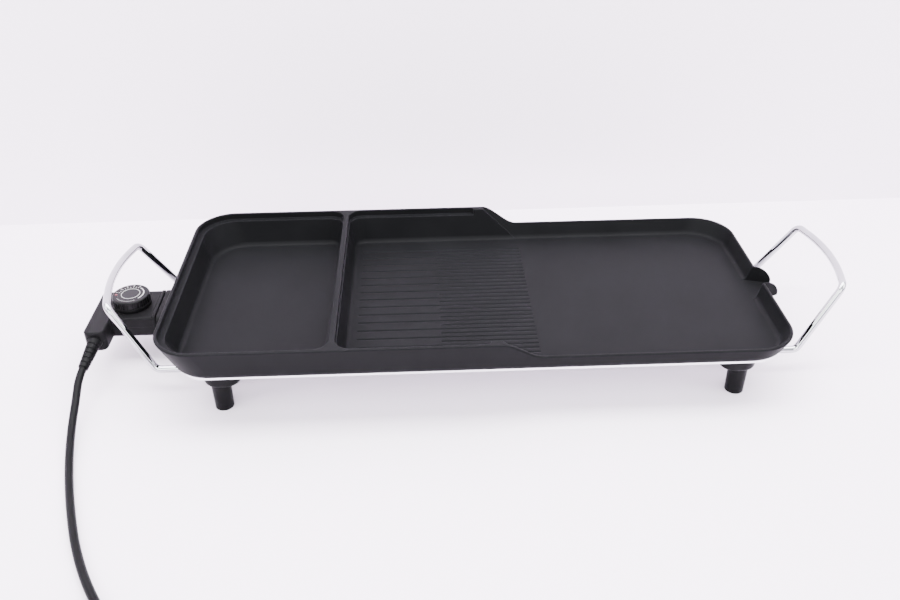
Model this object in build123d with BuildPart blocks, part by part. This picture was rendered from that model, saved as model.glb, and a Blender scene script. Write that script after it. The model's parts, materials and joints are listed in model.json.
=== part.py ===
"""Long electric table grill with a deep basin, a ribbed middle and a low griddle end.

Millimetres. The origin is on the table in the middle of the four feet,
+X points along the pan to the oil spout, +Y to the back and +Z up.
"""

import os
from math import atan2, copysign, cos, pi, radians, sin, sqrt, tan

from build123d import *

os.makedirs("parts", exist_ok=True)

# General
fit = 0.05
free_gap = 0.3
through = 400.0

# Pan
pan_length = 580.0
pan_width = 262.0
pan_corner = 38.0
outer_draft = 17.0
inner_draft = 9.0
low_draft = 16.0
floor_thickness = 3.0
tall_wall = 33.9
low_wall = 16.3
pan_bottom_radius = 12.0
rim_width = 8.1
low_rim_width = 3.2
inner_corner = 30.0
divider_x = -132.0
divider_top = 5.2
divider_corner = 14.0
floor_corner = 40.0
divider_floor_corner = 12.0
floor_fillet = 5.0
ledge_rim = 3.6
ledge_depth = 6.0
ledge_end_x = 6.0
step_top_x = 16.0
step_low_x = 52.0
step_ease = 0.8
rim_round = 1.0
crown_slope = 0.3
bottom_corner = 40.0

# Grooves in the middle floor
groove_margin = 36.5
groove_count = 15
groove_width = 2.6
groove_depth = 0.6
groove_left_x = -115.0
groove_right_x = 54.0
short_groove_left_x = -36.0

# Oil spout
spout_reach = 21.0
spout_mouth = 36.0
spout_tip = 18.0
spout_lip = 4.0
spout_lip_drop = 13.0

# Legs
leg_height = 40.8
leg_inset_x = 52.1
leg_inset_y = 33.0
leg_cap_diameter = 28.0
leg_cap_stretch = 6.0
leg_cap_height = 12.0
leg_cap_round = 5.0
leg_top_diameter = 18.2
leg_foot_diameter = 17.0
leg_bore = 9.0
leg_floor = 5.0
leg_screw_shank = 4.0
leg_screw_head = 7.6
leg_screw_head_height = 2.8
leg_screw_bite = 4.0
boss_diameter = 9.0

# Reflector tray
tray_sheet = 0.8
tray_margin = 18.0
tray_corner = 24.0
tray_lip_height = 3.6
tray_belly_room_x = 15.0
tray_belly_room_y = 24.0
tray_belly_depth = 15.0
tray_belly_corner = 24.0
tray_notch_width = 62.0

# Heating element
element_diameter = 6.5
element_inset_x = 90.0
element_inset_y = 71.0
element_bend = 14.0
terminal_spacing = 28.0
element_end_inset = 9.0
pin_diameter = 5.0
pin_reach = 13.0
clip_length = 10.0
clip_width = 22.0
clip_wall = 1.6

# Rod handles
rod_diameter = 7.0
rod_drop = 18.4
handle_base_inset = 61.3
handle_inner_inset = 50.0
handle_bend_reach = 13.0
handle_corner_reach = 49.7
handle_corner_inset = 73.0
handle_corner_rise = 62.6
handle_bow_reach = 57.5
handle_bow_share = 0.37
handle_bow_straight = 1.0
handle_bow_rise = 64.4
handle_bend_radius = 7.0
handle_corner_radius = 9.0
clamp_inset = 30.0
clamp_length = 12.0
clamp_width = 26.0
clamp_sheet = 1.5
clamp_screw_spread = 9.5
clamp_screw_head = 5.6
clamp_screw_head_height = 1.8
clamp_screw_shank = 2.8
clamp_nut_height = 2.0
clamp_nut_across = 5.0

# Inlet shroud at the left end
shroud_face_reach = 19.0
shroud_back_inset = 4.0
shroud_back_wall = 4.0
shroud_wall = 2.5
shroud_width = 54.0
shroud_half_height = 11.5
tongue_reach = 25.0
tongue_thickness = 3.5
tongue_screw_inset = 7.0
tongue_screw_y = 22.5
tongue_post = 8.0
tongue_screw_shank = 3.0
tongue_screw_head = 5.6
tongue_screw_head_height = 2.0
tongue_screw_bite = 2.0

# Probe
probe_diameter = 5.0
probe_tip_inset = 42.0
guide_length = 34.0
guide_start_inset = 6.0
guide_width = 10.0
guide_wall = 1.6
guide_bore_gap = 0.3

# Controller housing
controller_drop = 4.4
body_front_reach = 23.0
body_length = 60.0
body_half_width = 25.0
arm_width = 20.0
arm_end_y = -48.0
housing_half_height = 10.5
housing_wall = 2.0
housing_corner = 6.0
housing_inner_corner = 14.0
housing_edge = 2.0
flange_thickness = 2.5
flange_width = 51.0
flange_below = 11.5
flange_above = 12.0
flange_corner = 4.0
block_front_reach = 2.0
block_gap = 1.0
sleeve_wall = 0.7
sleeve_length = 19.0
screw_post = 7.0
screw_shank = 2.6
screw_head = 5.4
screw_head_height = 2.0
screw_counterbore_depth = 5.0
screw_bite = 6.0

# Knob
knob_reach = 47.0
knob_diameter = 35.6
knob_groove_z = 3.6
knob_groove_height = 0.9
knob_groove_depth = 0.7
knob_height = 12.3
knob_round = 1.5
knob_flutes = 20
knob_flute_depth = 0.45
knob_flute_radius = 1.6
knob_cap_diameter = 25.0
knob_cap_thickness = 0.8
spindle_diameter = 6.0
spindle_below = 2.2
spindle_top_gap = 3.0

# Thermostat inside the controller
frame_length = 34.0
frame_width = 24.0
frame_height = 5.0
frame_post = 3.0
leaf_length = 26.0
leaf_width = 5.0
leaf_thickness = 0.6
leaf_y = 6.0
contact_diameter = 3.0

# Strain relief and cord
cord_diameter = 7.2
relief_collar = 13.6
relief_collar_out = 3.0
relief_length = 30.0
relief_root = 13.0
relief_tip = 9.2
relief_ribs = 6
relief_rib_depth = 0.8
relief_drop = (-5.0, -28.0, -10.0)
cord_first_run = 12.0
bend_share = 0.45
cord_points = [
    (-4.1, -59.0, 19.8),
    (-2.4, -82.0, 11.6),
    (2.0, -107.0, 6.4),
    (8.5, -132.5, 4.0),
    (17.0, -159.0, 3.8),
    (27.5, -188.0, 3.8),
    (40.5, -220.0, 3.8),
    (56.5, -251.0, 4.2),
    (75.5, -280.0, 4.9),
    (97.5, -307.0, 4.9),
]

# Coil, tie and plug
coil_pitch = 7.7
coil_outer_radius = 50.0
coil_half_turns = 4
coil_low_z = 4.9
coil_tail = 32.0
tie_width = 8.0
tie_thickness = 1.0
tie_gap = 0.3
plug_length = 40.0
plug_width = 36.0
plug_clear_z = 0.2
plug_neck_length = 16.0
plug_neck_root = 8.6
plug_neck_diameter = 12.0
plug_corner = 6.0
plug_pin_diameter = 4.8
plug_pin_length = 19.0
plug_pin_spacing = 19.0

# Levels that follow from the sizes above
tray_flange_z = leg_height
pan_bottom_z = tray_flange_z + tray_lip_height
floor_z = pan_bottom_z + floor_thickness
rim_z = floor_z + tall_wall
low_rim_z = floor_z + low_wall
pan_height = rim_z - pan_bottom_z
element_z = pan_bottom_z - element_diameter / 2
half_length = pan_length / 2
half_width = pan_width / 2
cavity_half_width = half_width - rim_width
cavity_left_x = -half_length + rim_width
cavity_right_x = half_length - rim_width
groove_pitch = 2 * (half_width - groove_margin) / (groove_count - 1)
leg_x = half_length - leg_inset_x
leg_y = half_width - leg_inset_y
element_x = half_length - element_inset_x
element_y = half_width - element_inset_y
element_end_x = -half_length + element_end_inset
pin_tip_x = -half_length - pin_reach
clip_x = element_x / 2
tray_belly_length = 2 * (element_x + tray_belly_room_x)
tray_belly_width = 2 * (element_y + tray_belly_room_y)
rod_z = tray_flange_z - rod_drop
handle_base_y = half_width - handle_base_inset
handle_inner_x = half_length - handle_inner_inset
handle_bend_x = half_length + handle_bend_reach
handle_corner_x = half_length + handle_corner_reach
handle_corner_y = half_width - handle_corner_inset
handle_corner_z = rod_z + handle_corner_rise
handle_bow_x = half_length + handle_bow_reach
handle_bow_y = handle_bow_share * handle_corner_y
handle_bow_z = rod_z + handle_bow_rise
handle_bow_turn = atan2(handle_bow_x - handle_corner_x, handle_corner_y - handle_bow_y)
handle_bow_radius = (handle_bow_y - handle_bow_straight) / tan(handle_bow_turn / 2)
clamp_x = half_length - clamp_inset

# Places of the controller's pieces, from the pan's left end and its bottom
housing_split_z = pan_bottom_z - controller_drop
housing_low_z = housing_split_z - housing_half_height
housing_high_z = housing_split_z + housing_half_height
flange_low_z = housing_split_z - flange_below
flange_high_z = housing_split_z + flange_above
shroud_low_z = housing_split_z - shroud_half_height
shroud_high_z = housing_split_z + shroud_half_height
shroud_face_x = -half_length - shroud_face_reach
shroud_back_x = -half_length + shroud_back_inset
probe_tip_x = -half_length + probe_tip_inset
guide_start_x = -half_length + guide_start_inset
body_front_x = -half_length - body_front_reach
body_back_x = body_front_x - body_length
block_front_x = -half_length - block_front_reach
knob_x = -half_length - knob_reach
spindle_low_z = housing_split_z - spindle_below


def corners(sketch, x0, x1, half_y, left_radius, right_radius):
    """A rectangle in plan from x0 to x1 whose left and right corners have their own radius."""
    with Locations(((x0 + x1) / 2, 0)):
        Rectangle(x1 - x0, 2 * half_y)
    fillet(sketch.vertices().group_by(Axis.X)[0], left_radius)
    fillet(sketch.vertices().group_by(Axis.X)[-1], right_radius)


# Hollows of the pan, with rounded floors
def hollow(x0, x1, half_y, draft, rim_radii, floor_radii):
    """A space that narrows from the rim to the floor; the radii are of its left and right corners."""
    run = tall_wall * tan(radians(draft))
    with BuildPart() as space:
        with BuildSketch(Plane.XY.offset(rim_z)) as rim_plan:
            corners(rim_plan, x0, x1, half_y, *rim_radii)
        with BuildSketch(Plane.XY.offset(floor_z)) as floor_plan:
            corners(floor_plan, x0 + run, x1 - run, half_y - run, *floor_radii)
        loft()
        fillet(space.faces().sort_by(Axis.Z)[0].edges(), floor_fillet)
    return space.part


basin_space = hollow(
    cavity_left_x, divider_x - divider_top / 2, cavity_half_width, inner_draft,
    (inner_corner, divider_corner), (floor_corner, divider_floor_corner),
)
griddle_space = hollow(
    divider_x + divider_top / 2, cavity_right_x, cavity_half_width, inner_draft,
    (divider_corner, inner_corner), (divider_floor_corner, floor_corner),
)
low_right_x = half_length - low_rim_width
with BuildPart() as low_space:
    add(
        hollow(
            ledge_end_x, low_right_x, half_width - low_rim_width, low_draft,
            (divider_corner, pan_corner - low_rim_width), (divider_floor_corner, floor_corner),
        )
    )
    with BuildSketch(Plane.XZ):
        Polygon(
            (step_top_x, rim_z),
            (step_low_x, floor_z),
            (divider_x, floor_z),
            (divider_x, rim_z),
            align=None,
        )
    extrude(amount=pan_width, both=True, mode=Mode.SUBTRACT)

draft_run = pan_height * tan(radians(outer_draft))

# Grill pan: one casting with a basin, a divider, a ribbed middle, a low griddle end and a spout
with BuildPart() as grill_pan:
    with BuildSketch(Plane.XY.offset(rim_z)):
        RectangleRounded(pan_length, pan_width, pan_corner)
    with BuildSketch(Plane.XY.offset(pan_bottom_z)):
        RectangleRounded(pan_length - 2 * draft_run, pan_width - 2 * draft_run, bottom_corner)
    loft()
    fillet(grill_pan.faces().sort_by(Axis.Z)[0].edges(), pan_bottom_radius)
    with BuildSketch(Plane.XZ):
        with BuildLine():
            step = Spline(
                (step_top_x, rim_z), (step_low_x, low_rim_z),
                tangents=((1, 0), (1, 0)), tangent_scalars=(step_ease, step_ease),
            )
            Polyline(
                (step_low_x, low_rim_z),
                (pan_length, low_rim_z),
                (pan_length, rim_z + tall_wall),
                (step_top_x, rim_z + tall_wall),
                (step_top_x, rim_z),
            )
        make_face()
    extrude(amount=pan_width, both=True, mode=Mode.SUBTRACT)
    crown = grill_pan.faces().filter_by(lambda face: face.normal_at().Z > crown_slope).edges()
    creases = crown.filter_by(Axis.Y).filter_by_position(Axis.X, step_top_x, step_low_x)
    fillet(crown - creases, rim_round)
    spout_root_x = half_length - draft_run - pan_bottom_radius
    spout_end_x = half_length - (rim_z - floor_z) * tan(radians(outer_draft)) + spout_reach
    spout_crest_x = half_length - (rim_z - low_rim_z) * tan(radians(outer_draft)) - low_rim_width
    spout_lip_reach = spout_end_x - spout_crest_x
    with BuildSketch(Plane.XY.offset(pan_bottom_z)):
        Polygon(
            (spout_root_x, spout_mouth / 2 + spout_lip),
            (spout_end_x, spout_tip / 2 + spout_lip / 2),
            (spout_end_x, -spout_tip / 2 - spout_lip / 2),
            (spout_root_x, -spout_mouth / 2 - spout_lip),
            align=None,
        )
    extrude(amount=low_rim_z - pan_bottom_z)
    with BuildSketch(Plane.XZ):
        with BuildLine():
            ThreePointArc(
                (spout_crest_x, low_rim_z),
                (spout_crest_x + spout_lip_reach * sin(pi / 4), low_rim_z - spout_lip_drop * (1 - cos(pi / 4))),
                (spout_crest_x + spout_lip_reach, low_rim_z - spout_lip_drop),
            )
            Polyline(
                (spout_crest_x + spout_lip_reach, low_rim_z - spout_lip_drop),
                (spout_end_x + spout_lip, low_rim_z - spout_lip_drop),
                (spout_end_x + spout_lip, rim_z),
                (spout_crest_x, rim_z),
                (spout_crest_x, low_rim_z),
            )
        make_face()
        Polygon(
            (spout_root_x + pan_bottom_radius, pan_bottom_z),
            (spout_end_x + spout_lip, pan_bottom_z),
            (spout_end_x + spout_lip, floor_z),
            align=None,
        )
    extrude(amount=spout_mouth / 2 + spout_lip, both=True, mode=Mode.SUBTRACT)
    add(basin_space, mode=Mode.SUBTRACT)
    add(griddle_space, mode=Mode.SUBTRACT)
    add(low_space.part, mode=Mode.SUBTRACT)
    with BuildSketch(Plane.XY.offset(floor_z)):
        Polygon(
            (cavity_right_x - rim_width, spout_mouth / 2),
            (spout_end_x + spout_lip, spout_tip / 2),
            (spout_end_x + spout_lip, -spout_tip / 2),
            (cavity_right_x - rim_width, -spout_mouth / 2),
            align=None,
        )
    extrude(amount=tall_wall, mode=Mode.SUBTRACT)
    ledge_half_width = half_width - ledge_rim
    with BuildSketch(Plane.XY.offset(rim_z)) as basin_ledge:
        corners(
            basin_ledge,
            -half_length + ledge_rim, divider_x - divider_top / 2, ledge_half_width,
            pan_corner - ledge_rim, divider_corner,
        )
    extrude(amount=-ledge_depth, mode=Mode.SUBTRACT)
    with BuildSketch(Plane.XY.offset(rim_z)) as griddle_ledge:
        corners(
            griddle_ledge, divider_x + divider_top / 2, ledge_end_x, ledge_half_width,
            divider_corner, ledge_rim,
        )
    extrude(amount=-ledge_depth, mode=Mode.SUBTRACT)
    groove_length = groove_right_x - groove_left_x
    short_length = groove_right_x - short_groove_left_x
    with BuildSketch(Plane.XY.offset(floor_z)):
        with Locations(((groove_left_x + groove_right_x) / 2, 0)):
            with GridLocations(1, groove_pitch, 1, groove_count):
                SlotOverall(groove_length, groove_width)
        with Locations(((short_groove_left_x + groove_right_x) / 2, 0)):
            with GridLocations(1, groove_pitch, 1, groove_count - 1):
                SlotOverall(short_length, groove_width)
    extrude(amount=-groove_depth, mode=Mode.SUBTRACT)
    with BuildSketch(Plane.XY.offset(pan_bottom_z)):
        with GridLocations(2 * leg_x, 2 * leg_y, 2, 2):
            Circle(boss_diameter / 2)
    extrude(amount=-(tray_lip_height - tray_sheet))
    with BuildSketch(Plane.XY.offset(tray_flange_z)):
        with GridLocations(2 * leg_x, 2 * leg_y, 2, 2):
            Circle(leg_screw_shank / 2 + fit)
    extrude(amount=tray_sheet + leg_screw_bite + fit, mode=Mode.SUBTRACT)
    shroud_screw_x = shroud_back_x + tongue_reach - tongue_screw_inset
    with BuildSketch(Plane.XY.offset(pan_bottom_z)):
        with Locations((shroud_screw_x, tongue_screw_y), (shroud_screw_x, -tongue_screw_y)):
            Circle(tongue_screw_shank / 2 + fit)
    extrude(amount=tongue_screw_bite + fit, mode=Mode.SUBTRACT)


# Reflector tray: bright pressed sheet under the pan, with an upright lip and a deep belly
tray_length = pan_length - 2 * tray_margin
tray_width = pan_width - 2 * tray_margin
belly_bottom_z = tray_flange_z - tray_belly_depth
clamp_places = [
    (side * clamp_x, end * handle_base_y + step_y)
    for side in (-1, 1) for end in (-1, 1) for step_y in (-clamp_screw_spread, clamp_screw_spread)
]
with BuildPart() as reflector_tray:
    with BuildSketch(Plane.XY.offset(tray_flange_z)):
        RectangleRounded(tray_length, tray_width, tray_corner)
    extrude(amount=tray_lip_height)
    with BuildSketch(Plane.XY.offset(tray_flange_z + tray_sheet)):
        RectangleRounded(tray_length - 2 * tray_sheet, tray_width - 2 * tray_sheet, tray_corner - tray_sheet)
    extrude(amount=tray_lip_height, mode=Mode.SUBTRACT)
    with BuildSketch(Plane.XY.offset(tray_flange_z + tray_sheet)):
        RectangleRounded(
            tray_belly_length + 2 * tray_sheet, tray_belly_width + 2 * tray_sheet, tray_belly_corner + tray_sheet
        )
    extrude(amount=-(tray_belly_depth + tray_sheet), taper=outer_draft)
    with BuildSketch(Plane.XY.offset(tray_flange_z + tray_sheet)):
        RectangleRounded(tray_belly_length, tray_belly_width, tray_belly_corner)
    extrude(amount=-tray_belly_depth, taper=outer_draft, mode=Mode.SUBTRACT)
    with BuildSketch(Plane.XY.offset(tray_flange_z)):
        with GridLocations(2 * leg_x, 2 * leg_y, 2, 2):
            Circle(leg_screw_shank / 2 + fit)
        with Locations(*clamp_places):
            Circle(clamp_screw_shank / 2 + fit)
    extrude(amount=tray_sheet, mode=Mode.SUBTRACT)
    notch_end_x = -tray_belly_length / 2 + tray_belly_depth
    notch_low_z = element_z - element_diameter
    with BuildSketch(Plane.XY.offset(notch_low_z)):
        with Locations(((notch_end_x - tray_length / 2 - tray_margin) / 2, 0)):
            Rectangle(notch_end_x + tray_length / 2 + tray_margin, tray_notch_width)
    extrude(amount=pan_bottom_z - notch_low_z, mode=Mode.SUBTRACT)

# Legs: black mouldings with a wide cap, hollow for the screw that ties leg, tray and pan
leg_seat_z = leg_height - leg_floor


def make_leg(x, y):
    """One leg under a cap that reaches further to the pan's middle."""
    cap_x = x - copysign(leg_cap_stretch / 2, x)
    with BuildPart() as leg:
        with BuildSketch(Plane(origin=(cap_x, y, leg_height))):
            SlotCenterToCenter(leg_cap_stretch, leg_cap_diameter)
        extrude(amount=-leg_cap_height)
        fillet(leg.faces().sort_by(Axis.Z)[0].edges(), leg_cap_round)
        with Locations((x, y, 0)):
            Cone(
                leg_foot_diameter / 2, leg_top_diameter / 2, leg_height - leg_cap_height,
                align=(Align.CENTER, Align.CENTER, Align.MIN),
            )
        with BuildSketch(Plane(origin=(x, y, 0))):
            Circle(leg_bore / 2)
        extrude(amount=leg_seat_z, mode=Mode.SUBTRACT)
        with BuildSketch(Plane(origin=(x, y, 0))):
            Circle(leg_screw_shank / 2 + fit)
        extrude(amount=leg_height, mode=Mode.SUBTRACT)
    return leg.part


leg_front_left = make_leg(-leg_x, -leg_y)
leg_front_right = make_leg(leg_x, -leg_y)
leg_rear_left = make_leg(-leg_x, leg_y)
leg_rear_right = make_leg(leg_x, leg_y)

with BuildPart() as leg_screws:
    with BuildSketch(Plane.XY.offset(leg_seat_z)):
        with GridLocations(2 * leg_x, 2 * leg_y, 2, 2):
            Circle(leg_screw_head / 2)
    extrude(amount=-leg_screw_head_height)
    with BuildSketch(Plane.XY.offset(leg_seat_z)):
        with GridLocations(2 * leg_x, 2 * leg_y, 2, 2):
            Circle(leg_screw_shank / 2)
    extrude(amount=leg_floor + tray_sheet + leg_screw_bite)

# Heating element: one bent tube pressed against the pan's underside
half_spacing = terminal_spacing / 2
with BuildPart() as heating_element:
    with BuildLine():
        FilletPolyline(
            (element_end_x, half_spacing, element_z),
            (-element_x, half_spacing, element_z),
            (-element_x, element_y, element_z),
            (element_x, element_y, element_z),
            (element_x, -element_y, element_z),
            (-element_x, -element_y, element_z),
            (-element_x, -half_spacing, element_z),
            (element_end_x, -half_spacing, element_z),
            radius=element_bend,
        )
    with BuildSketch(Plane(origin=(element_end_x, half_spacing, element_z), z_dir=(1, 0, 0))):
        Circle(element_diameter / 2)
    sweep()

with BuildPart() as element_clips:
    clip_depth = element_diameter + clip_wall
    with BuildSketch(Plane.XY.offset(pan_bottom_z)):
        with GridLocations(2 * clip_x, 2 * element_y, 2, 2):
            Rectangle(clip_length, clip_width)
    extrude(amount=-clip_depth)
    with BuildSketch(Plane.YZ):
        for side in (-1, 1):
            with Locations((side * element_y, element_z)):
                Circle(element_diameter / 2 + fit)
            with Locations((side * element_y, (element_z + pan_bottom_z) / 2)):
                Rectangle(element_diameter + 2 * fit, pan_bottom_z - element_z)
    extrude(amount=through, both=True, mode=Mode.SUBTRACT)

# Terminal pins on the element's cold ends
with BuildPart() as terminal_pins:
    with BuildSketch(Plane.YZ.offset(element_end_x)):
        with Locations((half_spacing, element_z), (-half_spacing, element_z)):
            Circle(pin_diameter / 2)
    extrude(amount=pin_tip_x - element_end_x)

# Guide on the pan's underside that takes the temperature probe
with BuildPart() as probe_guide:
    guide_low_z = element_z - probe_diameter / 2 - guide_bore_gap - guide_wall
    with BuildSketch(Plane.XY.offset(guide_low_z)):
        with Locations((guide_start_x + guide_length / 2, 0)):
            Rectangle(guide_length, guide_width)
    extrude(amount=pan_bottom_z - guide_low_z)
    with BuildSketch(Plane.YZ.offset(guide_start_x)):
        with Locations((0, element_z)):
            Circle(probe_diameter / 2 + guide_bore_gap)
    extrude(amount=guide_length, mode=Mode.SUBTRACT)

# Inlet shroud: open box round the pins, with a tongue screwed up to the pan
tongue_top_z = element_z - element_diameter / 2 - free_gap - clip_wall
tongue_low_z = tongue_top_z - tongue_thickness
cavity_low_z = shroud_low_z + shroud_wall
cavity_high_z = shroud_high_z - shroud_wall
cavity_mid_z = (cavity_low_z + cavity_high_z) / 2
shroud_cavity_width = shroud_width - 2 * shroud_wall
with BuildPart() as inlet_shroud:
    with BuildSketch(Plane.YZ.offset(shroud_back_x)):
        with Locations((0, cavity_mid_z)):
            RectangleRounded(shroud_width, shroud_high_z - shroud_low_z, 2 * shroud_wall)
    extrude(amount=shroud_face_x - shroud_back_x)
    with BuildSketch(Plane.YZ.offset(shroud_face_x)):
        with Locations((0, cavity_mid_z)):
            RectangleRounded(shroud_cavity_width, cavity_high_z - cavity_low_z, shroud_wall)
    extrude(amount=shroud_back_x - shroud_back_wall - shroud_face_x, mode=Mode.SUBTRACT)
    with BuildSketch(Plane.YZ.offset(shroud_back_x)):
        with Locations((half_spacing, element_z), (-half_spacing, element_z)):
            Circle(pin_diameter / 2 + fit)
        with Locations((0, element_z)):
            Circle(probe_diameter / 2 + guide_bore_gap)
    extrude(amount=-shroud_back_wall, mode=Mode.SUBTRACT)
    with BuildSketch(Plane.XY.offset(tongue_low_z)):
        with Locations((shroud_back_x + tongue_reach / 2, 0)):
            Rectangle(tongue_reach, shroud_width)
    extrude(amount=tongue_thickness)
    with BuildSketch(Plane.XY.offset(tongue_low_z)):
        with Locations((shroud_screw_x, tongue_screw_y), (shroud_screw_x, -tongue_screw_y)):
            Circle(tongue_post / 2)
    extrude(amount=pan_bottom_z - tongue_low_z)
    with BuildSketch(Plane.XY.offset(tongue_low_z)):
        with Locations((shroud_screw_x, tongue_screw_y), (shroud_screw_x, -tongue_screw_y)):
            Circle(tongue_screw_shank / 2 + fit)
    extrude(amount=pan_bottom_z - tongue_low_z, mode=Mode.SUBTRACT)

with BuildPart() as shroud_screws:
    with BuildSketch(Plane.XY.offset(tongue_low_z)):
        with Locations((shroud_screw_x, tongue_screw_y), (shroud_screw_x, -tongue_screw_y)):
            Circle(tongue_screw_head / 2)
    extrude(amount=-tongue_screw_head_height)
    with BuildSketch(Plane.XY.offset(tongue_low_z)):
        with Locations((shroud_screw_x, tongue_screw_y), (shroud_screw_x, -tongue_screw_y)):
            Circle(tongue_screw_shank / 2)
    extrude(amount=pan_bottom_z - tongue_low_z + tongue_screw_bite)

# Handles: chromed rod loops held under the tray's flange


def make_handle(side):
    """One rod loop at the pan's left (-1) or right (1) end."""
    with BuildPart() as handle:
        with BuildLine():
            FilletPolyline(
                (side * handle_inner_x, -handle_base_y, rod_z),
                (side * handle_bend_x, -handle_base_y, rod_z),
                (side * handle_corner_x, -handle_corner_y, handle_corner_z),
                (side * handle_bow_x, -handle_bow_y, handle_bow_z),
                (side * handle_bow_x, handle_bow_y, handle_bow_z),
                (side * handle_corner_x, handle_corner_y, handle_corner_z),
                (side * handle_bend_x, handle_base_y, rod_z),
                (side * handle_inner_x, handle_base_y, rod_z),
                radius=[
                    handle_bend_radius, handle_corner_radius, handle_bow_radius,
                    handle_bow_radius, handle_corner_radius, handle_bend_radius,
                ],
            )
        with BuildSketch(Plane(origin=(side * handle_inner_x, -handle_base_y, rod_z), z_dir=(side, 0, 0))):
            Circle(rod_diameter / 2)
        sweep()
    return handle.part


handle_left = make_handle(-1)
handle_right = make_handle(1)

with BuildPart() as handle_clamps:
    for side in (-1, 1):
        with BuildSketch(Plane.YZ.offset(side * clamp_x - clamp_length / 2)):
            for end in (-1, 1):
                with Locations((end * handle_base_y, rod_z)):
                    Circle(rod_diameter / 2 + clamp_sheet)
                with Locations((end * handle_base_y, (rod_z + tray_flange_z) / 2)):
                    Rectangle(rod_diameter + 2 * clamp_sheet, tray_flange_z - rod_z)
                with Locations((end * handle_base_y, tray_flange_z - clamp_sheet / 2)):
                    Rectangle(clamp_width, clamp_sheet)
                with Locations((end * handle_base_y, rod_z)):
                    Circle(rod_diameter / 2 + fit, mode=Mode.SUBTRACT)
                with Locations((end * handle_base_y, (rod_z + tray_flange_z) / 2)):
                    Rectangle(rod_diameter + 2 * fit, tray_flange_z - rod_z, mode=Mode.SUBTRACT)
                with Locations((end * handle_base_y, tray_flange_z + rod_diameter)):
                    Rectangle(clamp_width, 2 * rod_diameter, mode=Mode.SUBTRACT)
        extrude(amount=clamp_length)
    with BuildSketch(Plane.XY.offset(tray_flange_z)):
        with Locations(*clamp_places):
            Circle(clamp_screw_shank / 2 + fit)
    extrude(amount=-clamp_sheet, mode=Mode.SUBTRACT)

with BuildPart() as handle_screws:
    with BuildSketch(Plane.XY.offset(tray_flange_z - clamp_sheet)):
        with Locations(*clamp_places):
            Circle(clamp_screw_head / 2)
    extrude(amount=-clamp_screw_head_height)
    with BuildSketch(Plane.XY.offset(tray_flange_z - clamp_sheet)):
        with Locations(*clamp_places):
            Circle(clamp_screw_shank / 2)
    extrude(amount=clamp_sheet + tray_sheet + clamp_nut_height)

with BuildPart() as handle_nuts:
    with BuildSketch(Plane.XY.offset(tray_flange_z + tray_sheet)):
        with Locations(*clamp_places):
            RegularPolygon(clamp_nut_across / 2, 6, major_radius=False)
            Circle(clamp_screw_shank / 2 + fit, mode=Mode.SUBTRACT)
    extrude(amount=clamp_nut_height)


# Controller housing: two L-shaped shells split at half height
def housing_outline(inset):
    """The L-shaped plan of the housing, drawn in by inset."""
    x0 = body_back_x + inset
    x1 = body_front_x - inset
    xa = body_back_x + arm_width - inset
    y0 = arm_end_y + inset
    y1 = body_half_width - inset
    outline = Polygon((x1, inset - body_half_width), (x1, y1), (x0, y1), (x0, y0), (xa, y0),
                      (xa, inset - body_half_width), align=None)
    by_x = outline.vertices().group_by(Axis.X)
    arm_side = by_x[1].sort_by(Axis.Y)
    fillet(list(by_x[0]) + [arm_side[0]], housing_corner - inset)
    fillet([arm_side[1]], housing_inner_corner + inset)


arm_x = body_back_x + arm_width / 2
post_inset = housing_wall + screw_post / 2 + free_gap
post_places = [
    (body_back_x + post_inset + housing_wall, body_half_width - post_inset - housing_wall),
    (body_back_x + post_inset + housing_wall, -body_half_width - post_inset),
    (body_front_x - post_inset, body_half_width - post_inset),
    (body_front_x - post_inset, -body_half_width + post_inset),
]
relief_z = (housing_low_z + housing_high_z) / 2
with BuildPart() as controller_base:
    with BuildSketch(Plane.XY.offset(housing_low_z)):
        housing_outline(0)
    extrude(amount=housing_split_z - housing_low_z)
    fillet(controller_base.faces().sort_by(Axis.Z)[0].edges(), housing_edge)
    with BuildSketch(Plane.XY.offset(housing_low_z + housing_wall)):
        housing_outline(housing_wall)
    extrude(amount=housing_split_z - housing_low_z, mode=Mode.SUBTRACT)
    with BuildSketch(Plane.XY.offset(housing_low_z + housing_wall)):
        with Locations(*post_places):
            Circle(screw_post / 2)
    extrude(amount=housing_split_z - housing_low_z - housing_wall)
    with BuildSketch(Plane.XY.offset(housing_low_z)):
        with Locations(*post_places):
            Circle(screw_head / 2 + fit)
    extrude(amount=screw_counterbore_depth, mode=Mode.SUBTRACT)
    with BuildSketch(Plane.XY.offset(housing_low_z)):
        with Locations(*post_places):
            Circle(screw_shank / 2 + fit)
    extrude(amount=housing_split_z - housing_low_z, mode=Mode.SUBTRACT)
    with BuildSketch(Plane.XZ.offset(-arm_end_y)):
        with Locations((arm_x, relief_z)):
            Circle(relief_collar / 2 + fit)
    extrude(amount=-housing_wall, mode=Mode.SUBTRACT)
    with BuildSketch(Plane.YZ.offset(body_front_x)):
        with Locations((0, element_z)):
            Circle(probe_diameter / 2 + fit)
    extrude(amount=-housing_wall, mode=Mode.SUBTRACT)

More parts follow.
